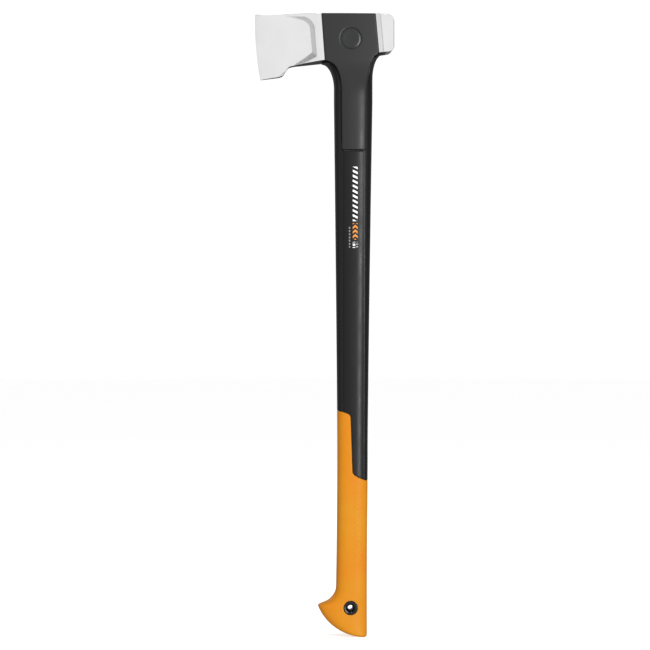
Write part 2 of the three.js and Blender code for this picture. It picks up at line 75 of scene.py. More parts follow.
def along(pairs, x):  # straight lines between [x, value] pairs
    for (x0, value0), (x1, value1) in zip(pairs, pairs[1:]):
        if x < x1:
            return lerp(value0, value1, clamp((x - x0) / (x1 - x0)))
    return pairs[-1][1]


def bentPower(t, power):
    return math.copysign(abs(t) ** power, t)


def roundDrop(distance, radius):  # how far a rounded edge lies below its face, this far in from the edge
    inside = clamp(distance / radius)
    return radius * (1 - math.sqrt(1 - (1 - inside) ** 2))


def spread(start, stop, count):  # equal steps with both ends
    return [lerp(start, stop, i / count) for i in range(count + 1)]


def crowded(start, stop, count):  # steps that close up towards the far end
    return [lerp(start, stop, math.sin(i / count * math.pi / 2)) for i in range(count + 1)]


def averaged(curve, x, reach, count):  # takes the corners off a curve
    return sum(curve(x + step) for step in spread(-reach, reach, count)) / (count + 1)


roundSteps = [0, 0.07, 0.22, 0.5, 1]  # places across a rounded edge, as shares of its radius
quarter = spread(0, math.pi / 2, 3)  # turns of a quarter round
weld = 0.0005  # points nearer than this become one


def wrapGrid(columns, rows, place):
    # a flat grid: columns run round the piece, rows along it, and place says where each point goes
    bm = bmesh.new()
    bmesh.ops.create_grid(bm, x_segments=columns, y_segments=rows, size=0.5)
    for vert in bm.verts:
        vert.co = place(round((vert.co.x + 0.5) * columns), round((vert.co.y + 0.5) * rows))
    bmesh.ops.remove_doubles(bm, verts=bm.verts, dist=weld)
    return bm


def mirrorHalf(bm):  # the other side of the mid-plane, welded on
    bmesh.ops.mirror(bm, geom=bm.verts[:] + bm.edges[:] + bm.faces[:], axis="Y", merge_dist=weld)
    bmesh.ops.remove_doubles(bm, verts=bm.verts, dist=weld)


def turnProfile(profile, x, z, closed=False, steps=72):
    # spins [radius, y] points round the Y axis through (x, z)
    bm = bmesh.new()
    verts = [bm.verts.new((radius, y, 0)) for radius, y in profile]
    edges = [bm.edges.new(pair) for pair in zip(verts, verts[1:])]
    if closed:
        edges.append(bm.edges.new((verts[-1], verts[0])))
    bmesh.ops.spin(bm, geom=verts + edges, cent=(0, 0, 0), axis=(0, 1, 0), angle=2 * math.pi,
                   steps=steps, use_merge=True)
    bmesh.ops.remove_doubles(bm, verts=bm.verts, dist=weld)
    bmesh.ops.translate(bm, verts=bm.verts, vec=(x, 0, z))
    return bm


def scoreLine(bm, points, wanted):
    # cuts the wanted faces along a line drawn in side view, where they cross it by more than near
    near = 0.001
    pool = [face for face in bm.faces if wanted(face.calc_center_median())]
    for (x0, z0), (x1, z1) in zip(points, points[1:]):
        length = math.hypot(x1 - x0, z1 - z0)
        ax, az = (x1 - x0) / length, (z1 - z0) / length
        crossed = []
        for face in pool:
            off = [(v.co.z - z0) * ax - (v.co.x - x0) * az for v in face.verts]
            way = [(v.co.x - x0) * ax + (v.co.z - z0) * az for v in face.verts]
            if min(off) < -near and max(off) > near and max(way) > -near and min(way) < length + near:
                crossed.append(face)
        touched = [item for face in crossed for item in (face, *face.edges, *face.verts)]
        geom = list(dict.fromkeys(touched))  # each item once, always in the same order
        made = bmesh.ops.bisect_plane(bm, geom=geom, dist=4 * near, plane_co=(x0, 0, z0),
                                      plane_no=(-az, 0, ax))
        known = set(crossed)
        pool = [face for face in pool if face.is_valid and face not in known]
        pool += [item for item in made["geom"] if isinstance(item, bmesh.types.BMFace) and item.is_valid]


def dropFaces(bm, unwanted):
    faces = [face for face in bm.faces if unwanted(face.calc_center_median())]
    bmesh.ops.delete(bm, geom=faces, context="FACES")


def openEdges(bm, wanted):
    rims = [edge for edge in bm.edges if edge.is_boundary]
    return [edge for edge in rims if wanted((edge.verts[0].co + edge.verts[1].co) / 2)]


def extendEdges(bm, edges, move):  # pulls a new band of faces out of open edges
    made = bmesh.ops.extrude_edge_only(bm, edges=edges)["geom"]
    for item in made:
        if isinstance(item, bmesh.types.BMVert):
            item.co = move(item.co)
    return [item for item in made if isinstance(item, bmesh.types.BMEdge)]


def circle(x, z, radius, count=64):
    turns = [2 * math.pi * i / count for i in range(count)] + [0]
    return [(x + radius * math.cos(turn), z + radius * math.sin(turn)) for turn in turns]


def finishPiece(bm, name, material, slot, *nodes, crease=38):
    bmesh.ops.remove_doubles(bm, verts=bm.verts, dist=weld)
    bmesh.ops.recalc_face_normals(bm, faces=bm.faces)
    bmesh.ops.translate(bm, verts=bm.verts, vec=(axisX, 0, 0))
    bmesh.ops.scale(bm, verts=bm.verts, vec=(mm, mm, mm))
    mesh = bpy.data.meshes.new(name)
    bm.to_mesh(mesh)
    bm.free()
    mesh.shade_smooth()
    mesh.set_sharp_from_angle(angle=math.radians(crease))
    mesh.materials.append(material)
    piece = bpy.data.objects.new(name, mesh)
    bpy.context.scene.collection.objects.link(piece)
    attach(piece, "root")
    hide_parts(*nodes)
    print(name, "made,", len(mesh.polygons), "faces")
    return piece


def linear(hexValue):  # an sRGB hex value as linear red, green, blue, alpha
    channels = [int(hexValue[i:i + 2], 16) / 255 for i in (1, 3, 5)]
    return [c / 12.92 if c <= 0.04045 else ((c + 0.055) / 1.055) ** 2.4 for c in channels] + [1]


def newMaterial(name):
    material = bpy.data.materials.new(name)
    material.use_nodes = True
    return material, material.node_tree, material.node_tree.nodes["Principled BSDF"]


def fill(tree, node, inputs):
    # each input, by its name or number, gets a socket to link or a value to set
    for key, value in inputs.items():
        if isinstance(value, bpy.types.NodeSocket):
            tree.links.new(value, node.inputs[key])
        else:
            node.inputs[key].default_value = value


def addNode(tree, kind, inputs=None, **settings):
    node = tree.nodes.new(kind)
    for key, value in settings.items():
        setattr(node, key, value)
    fill(tree, node, inputs or {})
    return node


def perMetre(sizeMm):  # texture scale whose features are about this big
    return 1 / (sizeMm * mm)


def noise(tree, place, sizeMm, detail):
    inputs = {"Vector": place, "Scale": perMetre(sizeMm), "Detail": detail}
    return addNode(tree, "ShaderNodeTexNoise", inputs).outputs["Fac"]


def pimples(tree, place, sizeMm):
    inputs = {"Vector": place, "Scale": perMetre(sizeMm)}
    return addNode(tree, "ShaderNodeTexVoronoi", inputs, feature="SMOOTH_F1").outputs["Distance"]


def mixed(tree, share, first, second):  # two colours, each a hex value or a socket
    tones = [linear(tone) if isinstance(tone, str) else tone for tone in (first, second)]
    inputs = {"Factor": share, "A": tones[0], "B": tones[1]}
    return addNode(tree, "ShaderNodeMix", inputs, data_type="RGBA").outputs["Result"]


def remap(tree, value, start, stop, low, high, **settings):  # start to stop becomes low to high
    inputs = {"Value": value, "From Min": start, "From Max": stop, "To Min": low, "To Max": high}
    return addNode(tree, "ShaderNodeMapRange", inputs, **settings).outputs["Result"]


def maths(tree, operation, *values):
    return addNode(tree, "ShaderNodeMath", dict(enumerate(values)), operation=operation).outputs["Value"]


def raised(tree, height, strength, depthMm):
    inputs = {"Height": height, "Strength": strength, "Distance": depthMm * mm}
    return addNode(tree, "ShaderNodeBump", inputs).outputs["Normal"]


def forgedSteel():
    # drop-forged carbon steel, shot-blasted and clear lacquered: a pale, even satin with a very fine grit; its
    # underside gets painted shade in the darker scale tone
    look = {"light": "#e4e4e4", "dark": "#dcdcdc", "cloud": 28, "roughness": (0.34, 0.43),
            "grit": 0.7, "strength": 0.25, "depth": 0.02,
            # the scale tone is the painted shade colour for the underside; the next keys give its share, the
            # facing where it starts and is full, and how far below the top it reaches
            "scale": "#363637", "underShadeShare": 0.95, "underShadeFacing": (-0.35, -0.7), "underShadeBelow": 50}
    material, tree, shader = newMaterial("shotBlastedForgedSteel")
    ways = addNode(tree, "ShaderNodeTexCoord").outputs
    place = ways["Object"]
    cloud = noise(tree, place, look["cloud"], 3)
    tone = mixed(tree, cloud, look["light"], look["dark"])
    # painted shade: faces that look down, low on the head, are darkened towards near black, standing in for the
    # shade under the head
    facing = addNode(tree, "ShaderNodeSeparateXYZ", {0: ways["Normal"]}).outputs["Z"]
    height = addNode(tree, "ShaderNodeSeparateXYZ", {0: place}).outputs["Z"]
    paintedUnderShade = remap(tree, facing, *look["underShadeFacing"], 0, look["underShadeShare"])
    low = maths(tree, "LESS_THAN", height, (topZ - look["underShadeBelow"]) * mm)
    fill(tree, shader, {
        "Base Color": mixed(tree, maths(tree, "MULTIPLY", paintedUnderShade, low), tone, look["scale"]),
        "Roughness": remap(tree, cloud, 0.3, 0.7, *look["roughness"]),
        "Normal": raised(tree, noise(tree, place, look["grit"], 2), look["strength"], look["depth"]),
        "Metallic": 1,
    })
    return material


# plain printed marks along the shaft: middle and half size in x and z, then the stripes
shaftPrint = [
    {"x": 2.2, "z": 583.5, "halfX": 3.2, "halfZ": 35.8,
     "pitch": 6.5, "share": 0.45, "slant": 0.5, "ink": "#e6e6e6"},
    {"x": 2.2, "z": 534.3, "halfX": 3.2, "halfZ": 10.9,
     "pitch": 6, "share": 0.5, "slant": 0.9, "ink": "#d98a3a", "folded": True},
    {"x": 0.6, "z": 516.5, "halfX": 1.7, "halfZ": 4,
     "pitch": 4.6, "share": 0.65, "slant": 0, "ink": "#d4d4d4"},
    {"x": 4.6, "z": 516.5, "halfX": 1.3, "halfZ": 4,
     "pitch": 3.4, "share": 0.4, "slant": 0, "ink": "#a9a9a9"},
    {"x": -5.2, "z": 527, "halfX": 0.9, "halfZ": 14,
     "pitch": 4.2, "share": 0.6, "slant": 0, "ink": "#7c7c7d"},
]


def printMask(tree, place, mark):  # 1 inside the mark's stripes
    reach = addNode(tree, "ShaderNodeSeparateXYZ", {0: place}).outputs
    sideways = maths(tree, "SUBTRACT", reach["X"], (mark["x"] + axisX) * mm)
    if mark.get("folded"):
        sideways = maths(tree, "ABSOLUTE", sideways)
    inX = maths(tree, "COMPARE", sideways, 0, mark["halfX"] * mm)
    inZ = maths(tree, "COMPARE", reach["Z"], mark["z"] * mm, mark["halfZ"] * mm)
    height = maths(tree, "MULTIPLY_ADD", sideways, mark["slant"], reach["Z"])
    stripe = maths(tree, "FRACT", maths(tree, "MULTIPLY", height, perMetre(mark["pitch"])))
    inked = maths(tree, "LESS_THAN", stripe, mark["share"])
    return maths(tree, "MULTIPLY", maths(tree, "MULTIPLY", inX, inZ), inked)


def mouldedNylon(name, base, roughness, grain, marks=()):
    # glass-filled nylon from a spark-eroded mould: near black, its highlights softened by a fine matt grain
    look = {"cloud": 22, "strength": 0.3, "depth": 0.03}
    material, tree, shader = newMaterial(name)
    place = addNode(tree, "ShaderNodeTexCoord").outputs["Object"]
    cloud = noise(tree, place, look["cloud"], 4)
    tone = mixed(tree, cloud, *base)
    for mark in marks:
        tone = mixed(tree, printMask(tree, place, mark), tone, mark["ink"])
    fill(tree, shader, {
        "Base Color": tone,
        "Roughness": remap(tree, cloud, 0.3, 0.7, *roughness),
        "Normal": raised(tree, pimples(tree, place, grain), look["strength"], look["depth"]),
        "IOR": 1.53,
        "Specular IOR Level": 0.2,
    })
    return material


def softGripRubber():
    # thermoplastic rubber moulded over the shaft: warm orange, silky matt, with a fine pimple grain
    look = {"main": "#c57c04", "deep": "#c57408", "cloud": 16,
            "pale": "#c28611", "patch": 60, "patchRange": (0.45, 0.65), "patchShare": 0.6,
            "roughness": 0.5, "pimple": 1.1, "strength": 0.35, "depth": 0.08}
    material, tree, shader = newMaterial("overmouldedGripRubber")
    place = addNode(tree, "ShaderNodeTexCoord").outputs["Object"]
    tone = mixed(tree, noise(tree, place, look["cloud"], 4), look["main"], look["deep"])
    patch = remap(tree, noise(tree, place, look["patch"], 2), *look["patchRange"], 0, look["patchShare"])
    fill(tree, shader, {
        "Base Color": mixed(tree, patch, tone, look["pale"]),
        "Roughness": look["roughness"],
        "Normal": raised(tree, pimples(tree, place, look["pimple"]), look["strength"], look["depth"]),
        "IOR": 1.5,
        "Specular IOR Level": 0.2,
    })
    return material


def polishedAcetal():
    # black acetal, gloss moulded: deep black that mirrors the lamps, with faint polishing waves
    look = {"deep": "#070708", "pale": "#101013", "wave": 5, "roughness": (0.06, 0.16)}
    material, tree, shader = newMaterial("glossMouldedAcetal")
    place = addNode(tree, "ShaderNodeTexCoord").outputs["Object"]
    wave = noise(tree, place, look["wave"], 2)
    fill(tree, shader, {
        "Base Color": mixed(tree, wave, look["deep"], look["pale"]),
        "Roughness": remap(tree, wave, 0, 1, *look["roughness"]),
        "IOR": 1.48,
        "Specular IOR Level": 0.35,
    })
    return material


steel = forgedSteel()
strapNylon = mouldedNylon("strapNylon", ("#272728", "#212122"), (0.32, 0.41), 0.9)
plugNylon = mouldedNylon("plugNylon", ("#292a2b", "#252526"), (0.2, 0.29), 1.4)  # from a smoother mould
shaftNylon = mouldedNylon("shaftNylon", ("#0d0d0e", "#0a0a0b"), (0.3, 0.39), 0.9, shaftPrint)
gripRubber = softGripRubber()
acetal = polishedAcetal()
print("materials made")

# the strap's outline, which the head and the shaft are cut to
strap = {
    "frontTop": 42.4, "frontLow": 37.8,  # front edge, at the top and at the head's underside
    "backTop": 28.3, "backLow": 33,
    "tongueFront": 15.2, "tongueBack": 16.4, "taper": 0.008,
    "tongueEnd": topZ - 178.2, "tongueStart": topZ - 104, "corner": 2.6,
    "legInside": 14.0, "bridge": 13, "clearance": 0.3,
    "edgeRound": 1.0, "topRound": 1.4, "crown": 0.9, "crownReach": 36,
    "neck": topZ - 115, "shoulder": 62, "blockSquare": 7, "blockSpare": 0.4,
    # pull of each flank's curve on its ends: sideways, then down from the shoulder
    "frontBend": {"start": 0.5, "end": 12.5, "low": 11, "high": 2},
    "backBend": {"start": 0.6, "end": 10.4, "low": 19, "high": 5},
}
underside = {"drop": 56.2, "slope": 0.1424}  # below the top at the centre line, rising towards the poll
waistHalf = strap["legInside"] - strap["clearance"]


def undersideAt(x):  # the head's sloping underside
    return topZ - underside["drop"] + underside["slope"] * x


def bezier(p0, p1, p2, p3, t):
    s = 1 - t
    return s * s * s * p0 + 3 * s * s * t * p1 + 3 * s * t * t * p2 + t * t * t * p3


def flankAt(z, side, grow=0):
    # reach of the strap's outline at height z, towards the blade (side 0) or the poll (side 1)
    names = (("tongueFront", "frontTop", "frontLow", "frontBend"),
             ("tongueBack", "backTop", "backLow", "backBend"))[side]
    reach, top, low, bend = (strap[name] for name in names)
    bottom, start = strap["tongueEnd"] - grow, strap["tongueStart"]
    shoulderZ = undersideAt(low * (2 * side - 1)) - grow
    edge = reach + grow + strap["taper"] * (min(z, start) - (start + bottom) / 2)
    if z <= start:
        return edge - roundDrop(z - bottom, strap["corner"] + grow)
    if z >= shoulderZ:
        return lerp(low, top, (z - shoulderZ) / (topZ + grow - shoulderZ)) + grow
    bends = (edge, edge + bend["start"], low + grow - bend["end"], low + grow)
    heights = (start, shoulderZ - bend["low"], shoulderZ - bend["high"], shoulderZ)
    lowT, highT = 0, 1
    for _ in range(24):  # the curve's place at this height, by halving
        t = (lowT + highT) / 2
        if bezier(*heights, t) < z:
            lowT = t
        else:
            highT = t
    return bezier(*bends, t)


head = {
    "edge": -129.1, "edgeLength": 86.3, "sweep": 7, "belly": 2.2, "land": 0.25,
    "bevelX": -113.1, "bevelHalf": 5,
    "flareX": -44.8, "flareHalf": 27,
    "cheekX": -55.5, "cheekHalf": 13.6,  # back of the hollow in the cheek
    "hollowCorner": 9, "hollowWall": 2.4, "hollowTopWall": 1.2, "hollowLowWall": 1.4,  # wall steepness
    "hollowBlend": 2.6, "hollowLowBlend": 1, "hollowSlant": 0.82,
    "hollowFoot": 2.4, "hollowHeel": 13.7,  # low wall: under the underside at the beard, above it behind
    "hollowTip": -101, "hollowSlope": 0.245,  # high wall: where it leaves the top, and its fall
    "rimBlend": (0.05, 2.4), "rimRun": 40,
    "bevelRound": 5, "beardX": -86, "beardFoot": ((-102, 82.7), (-96, 80.7)),
    "bladeLean": 20, "pollLean": 14,  # lengths over which the lean fades out
    "pollStep": 37.6, "pollRootHalf": 23.6, "pollFaceHalf": 22.7,
    "pollEdge": 1.8, "pollTop": 10, "pollLow": 6.5,
    "edgeRound": 0.8, "bridgeSeat": 13.3, "flareLine": 0.2, "shoulderLine": 0.3,
    "cheekCurve": ((0.27, 0.19), (0.54, 0.45)),  # cheek's hollow sweep: share of its run, share of its rise
    "cheekSteps": 72, "pollSteps": 22, "faceSteps": 84,
}
# half thickness along the head, and the height of its lower edge
bladeHalf = [
    (head["edge"], head["land"]),
    (head["bevelX"], head["bevelHalf"]),
    *((lerp(head["bevelX"], head["flareX"], run), lerp(head["bevelHalf"], head["flareHalf"], rise))
      for run, rise in head["cheekCurve"]),
    (head["flareX"], head["flareHalf"]),
    ((strap["backTop"] + strap["backLow"]) / 2, head["flareHalf"]),
    (head["pollStep"], head["pollRootHalf"]),
    (pollReach, head["pollFaceHalf"]),
]
headLow = [
    (head["edge"], topZ - head["edgeLength"]),
    (head["edge"] + 3, topZ - head["edgeLength"] + 0.4),
    *((x, topZ - drop) for x, drop in head["beardFoot"]),
    (head["beardX"] - 1, undersideAt(head["beardX"]) - 1),
    (head["beardX"] + 8, undersideAt(head["beardX"] + 8)),
    (pollReach, undersideAt(pollReach)),
]


def leanAt(x, z):  # what lies near the strap leans with its sloping edges
    if x < 0:
        edge = flankAt(max(z, undersideAt(-strap["frontLow"])), 0)
        lean = (strap["frontTop"] + strap["frontLow"]) / 2 - edge
        return lean * clamp((x - head["beardX"]) / head["bladeLean"])
    edge = flankAt(max(z, undersideAt(strap["backLow"])), 1)
    return (edge - (strap["backTop"] + strap["backLow"]) / 2) * clamp((pollReach - x) / head["pollLean"])


def headHalfAt(x, z):  # half thickness of the forging before it leans, with the hollow in its cheek
    if x > 0:
        return along(bladeHalf, x)
    outer = averaged(lambda place: along(bladeHalf, place), x, 1, 4)
    # the floor starts as a rounded bevel and runs on as a straight wedge
    run = x - head["edge"]
    wedge = (head["cheekHalf"] - head["bevelHalf"]) / (head["cheekX"] - head["bevelX"])
    bevel = head["bevelHalf"] - wedge * (head["bevelX"] - head["edge"])
    floor = bevel * (1 - math.exp(-run / head["bevelRound"])) + wedge * run + head["land"]
    # the walls behind and above meet in a rounded corner, and the straight wall below cuts across
    beard, corner = head["beardX"], head["hollowCorner"]
    share = (x - beard) / (head["cheekX"] - beard)
    foot, heel = undersideAt(beard) - head["hollowFoot"], undersideAt(head["cheekX"]) + head["hollowHeel"]
    floorLow = lerp(foot, heel, share)
    floorHigh = topZ - head["hollowSlope"] * (x - head["hollowTip"])
    rear = x - head["cheekX"] + corner
    upper = z - floorHigh + corner
    past = math.hypot(max(rear, 0), max(upper, 0)) + min(max(rear, upper), 0) - corner
    lift = max(upper, 0) / max(0.01, max(upper, 0) + max(rear, 0))
    below = (floorLow - z) * head["hollowSlant"]
    wall = lerp(head["hollowWall"], head["hollowTopWall"], lift)
    tray = softMax(floor, floor + past * wall, head["hollowBlend"])
    tray = softMax(tray, floor + below * head["hollowLowWall"], head["hollowLowBlend"])
    rimBlend = lerp(*head["rimBlend"], clamp((x - head["bevelX"]) / head["rimRun"]))
    return softMin(max(outer, floor), tray, rimBlend)


def headLowAt(x):
    corner = max(0, x - pollReach + head["pollLow"])
    soft = averaged(lambda place: along(headLow, place), x, 1.2, 2)
    return soft + head["pollLow"] - math.sqrt(max(0, head["pollLow"] ** 2 - corner ** 2))


def headHighAt(x):
    corner = max(0, x - pollReach + head["pollTop"])
    return topZ - head["pollTop"] + math.sqrt(max(0, head["pollTop"] ** 2 - corner ** 2))


def makeHead():
    # stations from edge to poll: kind, place, how far the face is drawn in; the waist lies inside the strap
    blade = [head["edge"] + d for d in (0, 0.3, 0.9, 1.8, 3, 4.5, 6, 8, 10, 12, 14)]
    stations = [("cap", head["edge"], 0)] + [("fixed", x, 0) for x in blade]
    stations += [("fixed", x, 0) for x in spread(head["bevelX"], head["flareX"] - 0.8, head["cheekSteps"])]
    stations += [("fixed", head["flareX"], head["flareLine"]), ("fixed", head["flareX"] + 0.8, 0)]
    stations += [("flare", t, 0) for t in (0.25, 0.5, 0.75, 0.9)] + [("flare", 1, 0.5)]
    stations += [("waist", t, 0) for t in spread(0, 1, 8)]
    stations += [("behind", 0, 0.5)] + [("behind", t, 0) for t in (0.1, 0.3, 0.55, 0.8, 0.93)]
    stations += [("fixed", head["pollStep"], head["shoulderLine"])]
    stations += [("fixed", x, 0) for x in crowded(head["pollStep"] + 0.5, pollReach, head["pollSteps"])]
    stations += [("cap", pollReach, 0)]
    loop = [("low", 0), ("low", 0.5)] + [("lowRound", s) for s in roundSteps[:-1]]
    loop += [("face", t) for t in spread(0, 1, head["faceSteps"])]
    loop += [("highRound", s) for s in roundSteps[-2::-1]] + [("high", 0.5), ("high", 0)]
    flareBack = (strap["backTop"] + strap["backLow"]) / 2

    def placeX(kind, value, z):
        front, back = -flankAt(z, 0, strap["clearance"]), flankAt(z, 1, strap["clearance"])
        flare = head["flareX"] + leanAt(head["flareX"], z)
        step = head["pollStep"] + leanAt(head["pollStep"], z)
        ends = {"flare": (flare, front), "waist": (front, back), "behind": (back, step)}
        return lerp(*ends[kind], value) if kind in ends else value + leanAt(value, z)

    def place(column, row):
        part, share = loop[column]
        kind, value, drawIn = stations[row]
        z = topZ - 40
        for _ in range(4):  # the strap's edges slope, so x and z are settled together
            x = placeX(kind, value, z)
            low, high = headLowAt(x), headHighAt(x)
            if kind == "waist":
                high = topZ - head["bridgeSeat"]
            reach = min(head["edgeRound"], 0.7 * along(bladeHalf, x), 0.3 * (high - low))
            heights = {"low": low, "lowRound": low + share * reach, "high": high,
                       "highRound": high - share * reach, "face": lerp(low + reach, high - reach, share)}
            z = heights[part]
        upright = {"flare": head["flareX"], "waist": 0, "behind": lerp(flareBack, head["pollStep"], value)}
        half = waistHalf if kind == "waist" else headHalfAt(upright.get(kind, value), z) - drawIn
        if kind == "fixed" and x > pollReach - head["pollEdge"]:
            half -= roundDrop(pollReach - x, head["pollEdge"])
        if part in ("lowRound", "highRound"):
            half -= roundDrop(share * reach, reach)
        if part in ("low", "high"):
            half = (half - reach) * share
        if kind == "cap":
            half = 0
        down = clamp((topZ - z) / head["edgeLength"])
        setBack = head["sweep"] * down - 4 * head["belly"] * down * (1 - down)
        x += setBack * clamp((head["flareX"] - x) / (head["flareX"] - head["edge"]))
        return x, max(half, 0), z

    bm = wrapGrid(len(loop) - 1, len(stations) - 1, place)
    mirrorHalf(bm)
    return finishPiece(bm, "headForging", steel, "forged_steel", "axe_head", crease=32)


headForging = makeHead()

# the handle's section, shared by the shaft, the tongues and the grip
handle = {
    "slimZ": 250,
    "gripFront": 20.4, "gripBack": 19.7, "gripHalf": 15.4,
    "neckFront": 24.9, "neckBack": 26, "neckHalf": 17.6,
    "yokeHalf": 25.6, "yokeFront": 16.5, "yokeBack": 14.5, "yokeHeight": 33,
    "yokeFrontDrop": 3, "square": 2.6, "swell": 1.2,
    "hookReach": 46, "hookRoot": 22.1, "hookZ": 44, "hookHollow": 22, "hookBend": 1.8, "hookBlunt": 1.6,
    "buttBack": 18.6, "buttCentre": 14.5, "buttRadius": 65.2, "buttEdge": 5,
}


def flareAt(z, top, reach):  # the yoke's outward sweep under the head
    t = clamp(1 - (top - z) / handle["yokeHeight"])
    return reach * (1 - math.sqrt(1 - t * t))


def buttFrontAt(z):  # the hook: a round sole below its tip and a hollow above
    if z < handle["hookZ"]:
        radius = handle["buttRadius"]
        sweep = math.sqrt(max(0, radius ** 2 - (radius - z) ** 2)) - handle["buttCentre"]
        return min(sweep, handle["hookReach"])
    bend = handle["hookBend"]
    rise = clamp((handle["hookZ"] + handle["hookHollow"] - z) / handle["hookHollow"])
    hollow = 1 - (1 - rise ** bend) ** (1 / bend)
    return handle["hookRoot"] + (handle["hookReach"] - handle["hookRoot"]) * hollow


def handleSection(z):  # reach to the front and back of the centre line, and half thickness
    hollowTop = handle["hookZ"] + handle["hookHollow"]
    up = clamp((z - handle["slimZ"]) / (strap["neck"] - handle["slimZ"])) ** handle["swell"]
    down = clamp((handle["slimZ"] - z) / (handle["slimZ"] - hollowTop))
    front = lerp(handle["gripFront"], handle["neckFront"], up)
    front += (handle["hookRoot"] - handle["gripFront"]) * down ** 2
    back = lerp(handle["gripBack"], handle["neckBack"], up)
    back += (handle["buttBack"] - handle["gripBack"]) * ease(down)
    half = lerp(handle["gripHalf"], handle["neckHalf"], up)
    if z < hollowTop:
        front = buttFrontAt(z)
        if z > handle["hookZ"] - 4:  # the hook's tip is blunt
            front = averaged(buttFrontAt, z, handle["hookBlunt"], 4)
    if z < handle["buttEdge"]:
        inset = roundDrop(z, handle["buttEdge"])
        half -= inset
        back -= inset / 2
    front += flareAt(z, undersideAt(-strap["frontLow"]) - handle["yokeFrontDrop"], handle["yokeFront"])
    back += flareAt(z, undersideAt(strap["backLow"]), handle["yokeBack"])
    half += (handle["yokeHalf"] - handle["neckHalf"]) * ease((z - strap["neck"]) / strap["shoulder"])
    return front, back, half


def ovalPoint(z, angle):
    front, back, half = handleSection(z)
    power = 2 / handle["square"]
    wide = (front + back) / 2 * bentPower(math.cos(angle), power)
    return (back - front) / 2 + wide, half * bentPower(math.sin(angle), power)


def ovalAngle(z, x):  # the inverse: the angle whose point lies at x
    front, back, _ = handleSection(z)
    share = max(-1, min(1, (x - (back - front) / 2) / ((front + back) / 2)))
    return math.acos(bentPower(share, handle["square"] / 2))


def outwardAt(co):  # the handle's outward direction at a point of its skin
    front, back, half = handleSection(co.z)
    wide = (front + back) / 2
    power = handle["square"] - 1
    share = (co.x - (back - front) / 2) / wide
    return Vector((bentPower(share, power) / wide, bentPower(co.y / half, power) / half, 0)).normalized()


lockPlug = {
    "x": -4.2, "z": topZ - 33, "headRadius": 13.3, "headDepth": 5, "shankRadius": 8.5, "clearance": 0.3,
    "bevel": 2.2, "seatBevel": 2.2, "bevelDrop": 0.52, "edgeRound": 0.4, "sunk": 0.2,
    "dish": [(0, 0.3), (6.65, 0.22), (9.7, 0.03)],  # how far the face dips, by distance from its middle
    "middleGap": 0.15, "endChamfer": (0.5, 0.45),
}


def crownAt(x):  # the block's faces bulge a little
    return strap["crown"] * ((x - lockPlug["x"]) / strap["crownReach"]) ** 2


def strapHalfAt(x, z):  # the strap's face: flush with the handle on the tongue, barely crowned on the block
    blend = ease((z - strap["neck"]) / strap["shoulder"])
    front, back, half = handleSection(min(z, strap["neck"]))
    flat = blend ** 2
    front, back = lerp(front, 2 * strap["frontTop"], flat), lerp(back, 2 * strap["frontTop"], flat)
    half = lerp(half, strapHalf + strap["blockSpare"], blend)
    square = lerp(handle["square"], strap["blockSquare"], flat)
    share = abs(x - (back - front) / 2) / ((front + back) / 2)
    return min(strapHalf, half * (1 - min(1, share) ** square) ** (1 / square)) - crownAt(x) * blend


